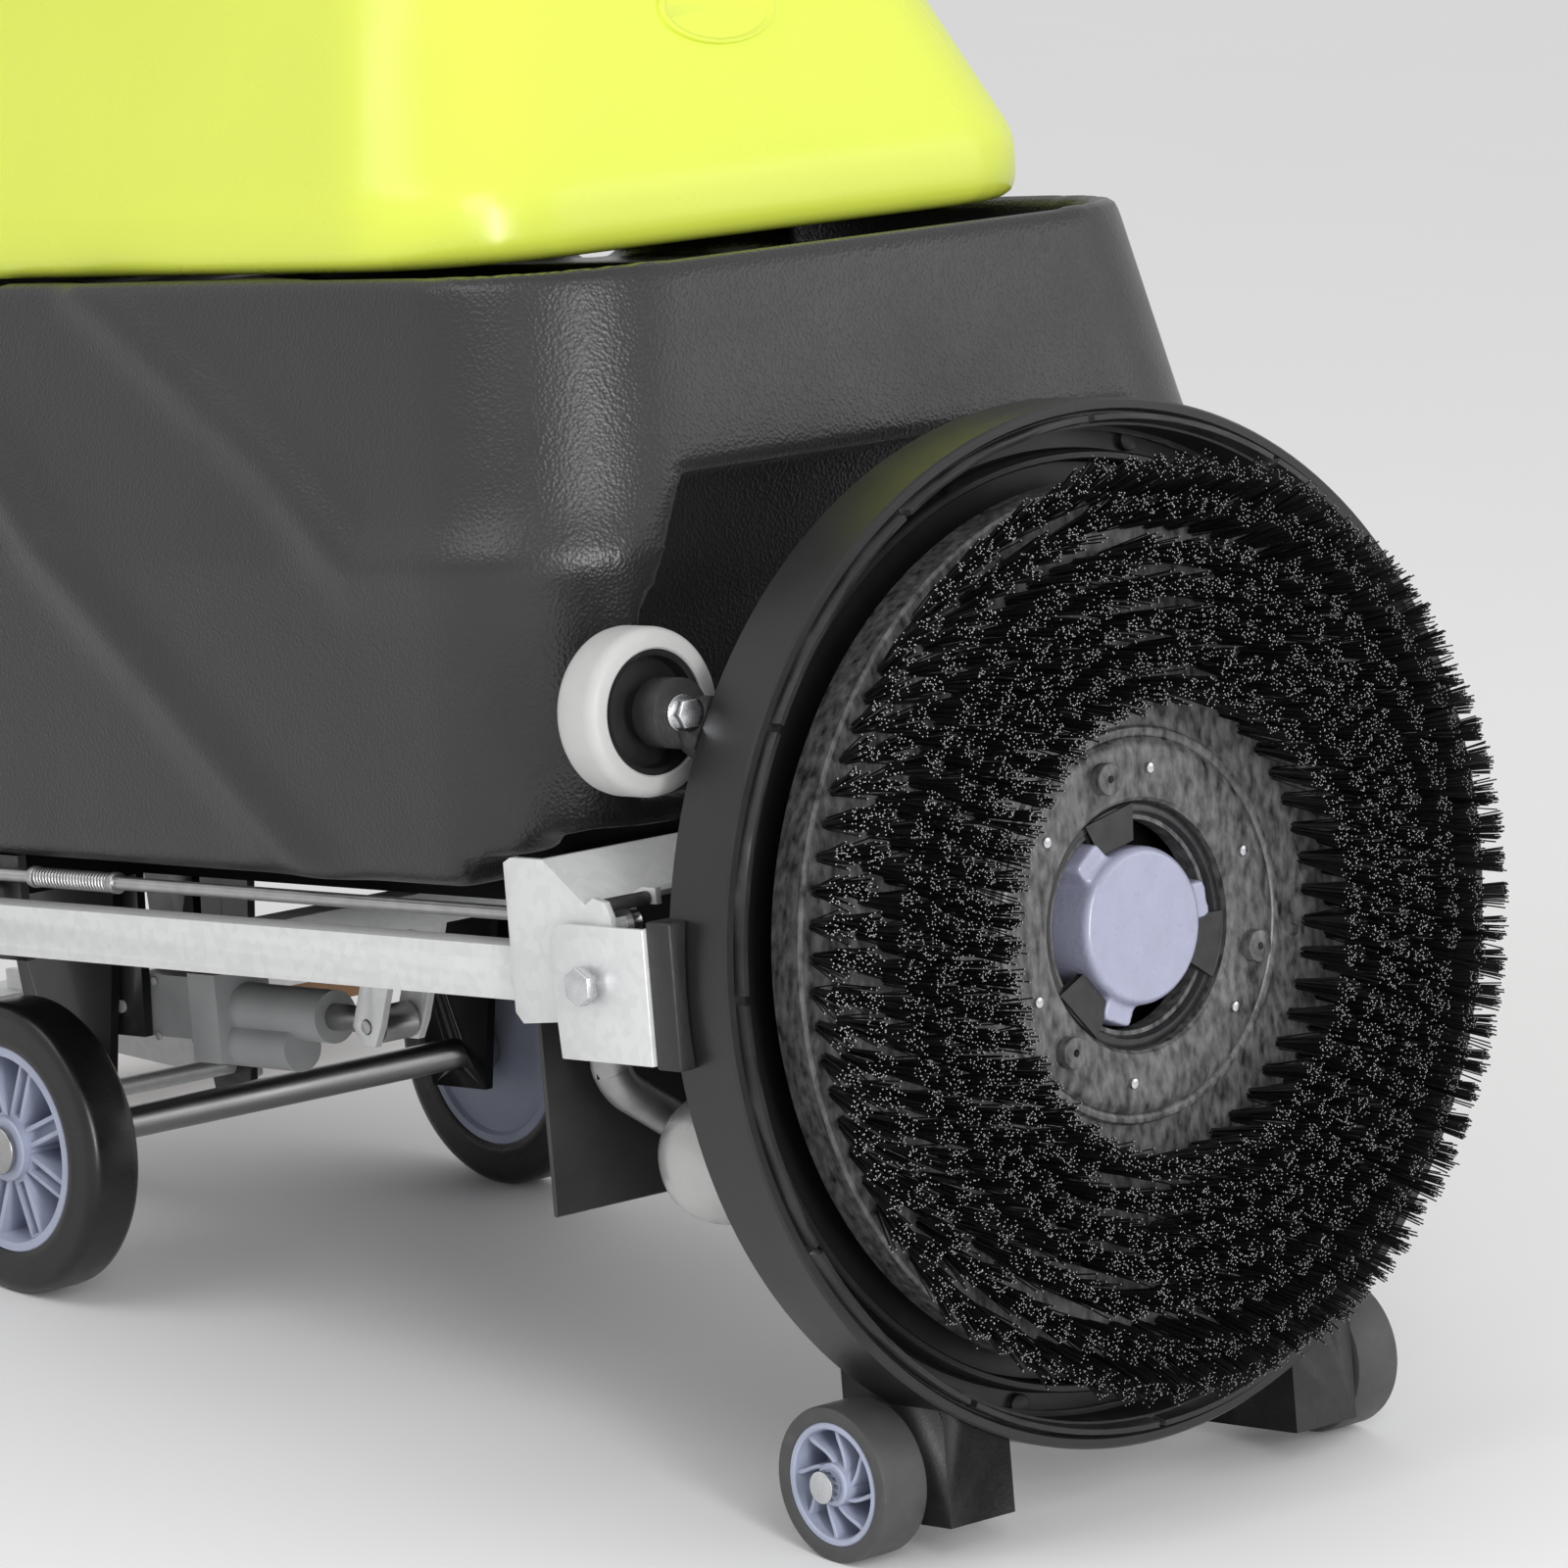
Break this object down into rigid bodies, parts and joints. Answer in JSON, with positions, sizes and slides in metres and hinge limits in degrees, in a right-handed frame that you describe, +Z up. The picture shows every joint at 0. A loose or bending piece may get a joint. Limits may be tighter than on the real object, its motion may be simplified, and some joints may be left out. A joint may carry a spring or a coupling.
{
  "type": "floor scrubber machine",
  "caption": "Walk-behind floor scrubber on two wheels with its disc brush deck flipped up, twin tanks, lift linkage, wall roller, squeegee and handle.",
  "frame": {"origin": "middle of the object's box at floor level, where the two main wheels and the two deck wheels stand", "axes": "+Z up, +Y towards the handle, -Y towards the brush deck, X across; the machine stands nose-up by 7 degrees"},
  "size_m": [0.77, 1.3672, 0.9804],
  "materials": {
    "frame_paint": "satin powder coat",
    "zinc_sheet": "galvanised",
    "steel": "ground steel",
    "bolt_zinc": "bright zinc",
    "tank_grey": "pebble-grained roto-moulding",
    "tank_lime": "gloss roto-moulding",
    "black_plastic": "moulded",
    "band_plastic": "smooth moulded",
    "rubber_sheet": "plain sheet",
    "hose_plastic": "corrugated",
    "cast_grey": "cast",
    "motor_silver": "silver enamel",
    "ram_plastic": "satin",
    "blue_grey_cast": "hammered enamel",
    "blue_grey_plastic": "moulded",
    "block_grey": "marbled recycled plastic",
    "bristle": "nylon bristle",
    "tyre_black": "satin",
    "tyre_grey": "satin",
    "roller_white": "non-marking",
    "battery_case": "moulded",
    "blade_rubber": "gum rubber",
    "lever_red": "moulded",
    "button_green": "moulded",
    "button_blue": "moulded",
    "lever_yellow": "powder coat"
  },
  "bodies": {
    "chassis": {"chassis_frame": "frame_paint", "main_axle": "steel", "solution_tank": "tank_grey", "batteries": "battery_case", "splash_flap": "rubber_sheet", "rear_column": "tank_grey", "control_panel": "black_plastic", "handle_tube": "frame_paint", "suction_hose": "hose_plastic", "drain_hose": "hose_plastic", "charge_socket": "black_plastic", "drain_spigot": "black_plastic", "solenoid_valve": "black_plastic", "vacuum_motor": "cast_grey"},
    "actuator": {"actuator_body": "ram_plastic"},
    "actuator_ram": {"actuator_rod": "steel"},
    "lift_arm": {"lift_arms": "zinc_sheet", "pivot_bolts": "bolt_zinc"},
    "upper_links": {"upper_rods": "steel", "rod_springs": "steel"},
    "carrier": {"carrier_frame": "zinc_sheet", "latch_pin": "bolt_zinc"},
    "deck": {"deck_housing": "band_plastic", "splash_skirt": "black_plastic", "deck_ears": "black_plastic", "hinge_plates": "zinc_sheet", "drive_motor": "motor_silver", "gearbox": "cast_grey", "pull_hoop": "steel", "wheel_brackets": "black_plastic", "deck_axles": "bolt_zinc", "roller_bracket": "black_plastic", "roller_bolt": "bolt_zinc"},
    "brush": {"drive_hub": "blue_grey_cast", "clutch_plate": "black_plastic", "brush_block": "block_grey", "block_rivets": "bolt_zinc", "bristles": "bristle"},
    "wall_roller": {"roller_tyre": "roller_white", "roller_hub": "black_plastic"},
    "deck_wheel_right": {"small_tyre_right": "tyre_grey", "small_hub_right": "blue_grey_plastic"},
    "deck_wheel_left": {"small_tyre_left": "tyre_grey", "small_hub_left": "blue_grey_plastic"},
    "main_wheel_right": {"main_tyre_right": "tyre_black", "main_hub_right": "blue_grey_plastic"},
    "main_wheel_left": {"main_tyre_left": "tyre_black", "main_hub_left": "blue_grey_plastic"},
    "recovery": {"recovery_tank": "tank_lime", "tank_badge": "tank_lime"},
    "lid": {"recovery_lid": "black_plastic"},
    "squeegee": {"squeegee_frame": "cast_grey", "squeegee_blades": "blade_rubber"},
    "squeegee_handle": {"squeegee_lever": "lever_red"},
    "key": {"key_switch": "bolt_zinc"},
    "brush_push": {"brush_button": "button_green"},
    "vacuum_push": {"vacuum_button": "button_blue"},
    "start_bail": {"start_lever": "lever_yellow"},
    "filler": {"fill_cap": "black_plastic"},
    "tap": {"drain_tap": "lever_red"}
  },
  "joints": [
    {"name": "lift", "type": "hinge", "parent": "chassis", "child": "lift_arm", "pos_m": [0, 0.08536, 0.25382], "axis": [1, 0, 0], "range_deg": [0, 9]},
    {"name": "upper_link", "type": "hinge", "parent": "chassis", "child": "upper_links", "pos_m": [0, 0.08889, 0.2826], "axis": [1, 0, 0], "range_deg": [0, 9]},
    {"name": "carrier_level", "type": "hinge", "parent": "lift_arm", "child": "carrier", "pos_m": [0, -0.49925, 0.3256], "axis": [1, 0, 0], "range_deg": [-9, 0]},
    {"name": "actuator_swing", "type": "hinge", "parent": "chassis", "child": "actuator", "pos_m": [-0.12, 0.122, 0.17477], "axis": [1, 0, 0], "range_deg": [0, 7.55]},
    {"name": "actuator_stroke", "type": "slide", "parent": "actuator", "child": "actuator_ram", "axis": [0, -0.9925, 0.1219], "range_m": [-0.0126, 0]},
    {"name": "deck_flip", "type": "hinge", "parent": "carrier", "child": "deck", "pos_m": [0, -0.49925, 0.3256], "axis": [1, 0, 0], "range_deg": [0, 90], "deforming": ["splash_flap"]},
    {"name": "brush_spin", "type": "hinge", "parent": "deck", "child": "brush", "pos_m": [0, -0.59662, 0.32849], "axis": [0, -0.9925, 0.1219], "continuous": true},
    {"name": "wall_roller_spin", "type": "hinge", "parent": "deck", "child": "wall_roller", "pos_m": [-0.258, -0.4879, 0.46727], "axis": [0, -0.9925, 0.1219], "continuous": true},
    {"name": "deck_wheel_right_spin", "type": "hinge", "parent": "deck", "child": "deck_wheel_right", "pos_m": [-0.184, -0.57923, 0.0435], "axis": [1, 0, 0], "continuous": true},
    {"name": "deck_wheel_left_spin", "type": "hinge", "parent": "deck", "child": "deck_wheel_left", "pos_m": [0.184, -0.57923, 0.0435], "axis": [1, 0, 0], "continuous": true},
    {"name": "main_wheel_right_spin", "type": "hinge", "parent": "chassis", "child": "main_wheel_right", "pos_m": [-0.192, 0.15592, 0.09], "axis": [1, 0, 0], "continuous": true},
    {"name": "main_wheel_left_spin", "type": "hinge", "parent": "chassis", "child": "main_wheel_left", "pos_m": [0.192, 0.15592, 0.09], "axis": [1, 0, 0], "continuous": true},
    {"name": "tank_tip", "type": "hinge", "parent": "chassis", "child": "recovery", "pos_m": [0.267, 0.22149, 0.62399], "axis": [0, 0.9925, -0.1219], "range_deg": [0, 55], "deforming": ["drain_hose"]},
    {"name": "lid_open", "type": "hinge", "parent": "recovery", "child": "lid", "pos_m": [0, 0.19828, 0.9437], "axis": [1, 0, 0], "range_deg": [-95, 0]},
    {"name": "squeegee_lift", "type": "hinge", "parent": "chassis", "child": "squeegee", "pos_m": [0, 0.27503, 0.07538], "axis": [1, 0, 0], "range_deg": [-16, 0], "deforming": ["suction_hose"]},
    {"name": "squeegee_lever_turn", "type": "hinge", "parent": "chassis", "child": "squeegee_handle", "pos_m": [0.146, 0.46715, 0.47494], "axis": [1, 0, 0], "range_deg": [-48, 0]},
    {"name": "key_turn", "type": "hinge", "parent": "chassis", "child": "key", "pos_m": [0.11, 0.52954, 0.88102], "axis": [0, -0.309, 0.9511], "range_deg": [-90, 0]},
    {"name": "brush_button_press", "type": "slide", "parent": "chassis", "child": "brush_push", "axis": [0, -0.309, 0.9511], "range_m": [-0.003, 0], "stiffness_N_per_m": 300},
    {"name": "vacuum_button_press", "type": "slide", "parent": "chassis", "child": "vacuum_push", "axis": [0, -0.309, 0.9511], "range_m": [-0.003, 0], "stiffness_N_per_m": 300},
    {"name": "start_lever_pull", "type": "hinge", "parent": "chassis", "child": "start_bail", "pos_m": [0, 0.59914, 0.81136], "axis": [1, 0, 0], "range_deg": [-12, 0], "stiffness_Nm_per_rad": 4},
    {"name": "fill_cap_lift", "type": "slide", "parent": "chassis", "child": "filler", "axis": [0, 0.1219, 0.9925], "range_m": [0, 0.03]},
    {"name": "drain_tap_turn", "type": "hinge", "parent": "chassis", "child": "tap", "pos_m": [-0.23, 0.21512, 0.24393], "axis": [0, 0.1219, 0.9925], "range_deg": [0, 90]}
  ],
  "couplings": [
    {"joint": "upper_link", "follows": "lift", "ratio": 1},
    {"joint": "carrier_level", "follows": "lift", "ratio": -1},
    {"joint": "actuator_swing", "follows": "lift", "ratio": 0.8172},
    {"joint": "actuator_stroke", "follows": "lift", "m_per_rad": -0.07673},
    {"joint": "squeegee_lever_turn", "follows": "squeegee_lift", "ratio": 3}
  ]
}
